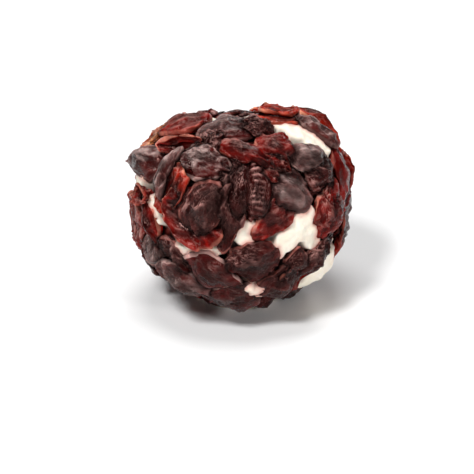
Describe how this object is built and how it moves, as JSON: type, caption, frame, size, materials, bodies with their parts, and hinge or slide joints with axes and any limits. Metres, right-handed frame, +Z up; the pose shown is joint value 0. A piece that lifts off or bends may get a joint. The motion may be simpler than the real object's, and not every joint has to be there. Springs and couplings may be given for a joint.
{
  "type": "fruit-coated fresh cheese",
  "caption": "Ball of soft fresh white cheese rolled in whole dried cranberries, with bare cheese showing between the wrinkled fruit and a small flat foot.",
  "frame": {"origin": "on the surface it stands on, under the middle of the ball, in the flat foot", "axes": "+Z up; -Y towards the side that the picture shows, seen from 25 degrees above level; +X to that view's right"},
  "size_m": [0.0584, 0.0585, 0.0532],
  "materials": {
    "cheese": "soft, moist fresh cheese, matt and faintly crumbly, stained pink beside the fruit",
    "dried_cranberry": "dark red wrinkled dried fruit skin with a dull sheen, brighter red where it is thin"
  },
  "bodies": {
    "root": {"cheese": "cheese", "cranberry_back_right_strip": "dried_cranberry", "cranberry_bottom_left_long": "dried_cranberry", "cranberry_bottom_red": "dried_cranberry", "cranberry_bottom_round": "dried_cranberry", "cranberry_clam_lower": "dried_cranberry", "cranberry_clam_upper": "dried_cranberry", "cranberry_cup_heart": "dried_cranberry", "cranberry_cup_left": "dried_cranberry", "cranberry_cup_lower": "dried_cranberry", "cranberry_cup_right": "dried_cranberry", "cranberry_cup_top": "dried_cranberry", "cranberry_curled_leaf": "dried_cranberry", "cranberry_grey_strip": "dried_cranberry", "cranberry_left_grey": "dried_cranberry", "cranberry_left_outer": "dried_cranberry", "cranberry_left_small": "dried_cranberry", "cranberry_left_strip": "dried_cranberry", "cranberry_left_wedge": "dried_cranberry", "cranberry_lens": "dried_cranberry", "cranberry_lower_long_dark": "dried_cranberry", "cranberry_lower_long_red": "dried_cranberry", "cranberry_lower_right_dark": "dried_cranberry", "cranberry_pair_01": "dried_cranberry", "cranberry_pair_02": "dried_cranberry", "cranberry_pair_03": "dried_cranberry", "cranberry_pair_04": "dried_cranberry", "cranberry_pair_05": "dried_cranberry", "cranberry_pair_06": "dried_cranberry", "cranberry_pair_07": "dried_cranberry", "cranberry_pair_08": "dried_cranberry", "cranberry_pair_09": "dried_cranberry", "cranberry_pair_10": "dried_cranberry", "cranberry_pair_12": "dried_cranberry", "cranberry_pair_13": "dried_cranberry", "cranberry_pair_14": "dried_cranberry", "cranberry_pair_15": "dried_cranberry", "cranberry_pair_16": "dried_cranberry", "cranberry_pair_17": "dried_cranberry", "cranberry_pair_18": "dried_cranberry", "cranberry_pair_20": "dried_cranberry", "cranberry_pair_21": "dried_cranberry", "cranberry_pair_22": "dried_cranberry", "cranberry_pair_23": "dried_cranberry", "cranberry_red_under": "dried_cranberry", "cranberry_ridge_dark": "dried_cranberry", "cranberry_right_edge_red": "dried_cranberry", "cranberry_right_sliver": "dried_cranberry", "cranberry_right_wrinkled": "dried_cranberry", "cranberry_round_end": "dried_cranberry", "cranberry_slanting_roll": "dried_cranberry", "cranberry_smooth_grey": "dried_cranberry", "cranberry_tall_wrinkled": "dried_cranberry", "cranberry_top_back_flat": "dried_cranberry", "cranberry_top_back_red": "dried_cranberry", "cranberry_top_back_under": "dried_cranberry", "cranberry_top_left_roll": "dried_cranberry", "cranberry_top_lump": "dried_cranberry", "cranberry_under_front": "dried_cranberry", "cranberry_under_right": "dried_cranberry"}
  },
  "joints": []
}
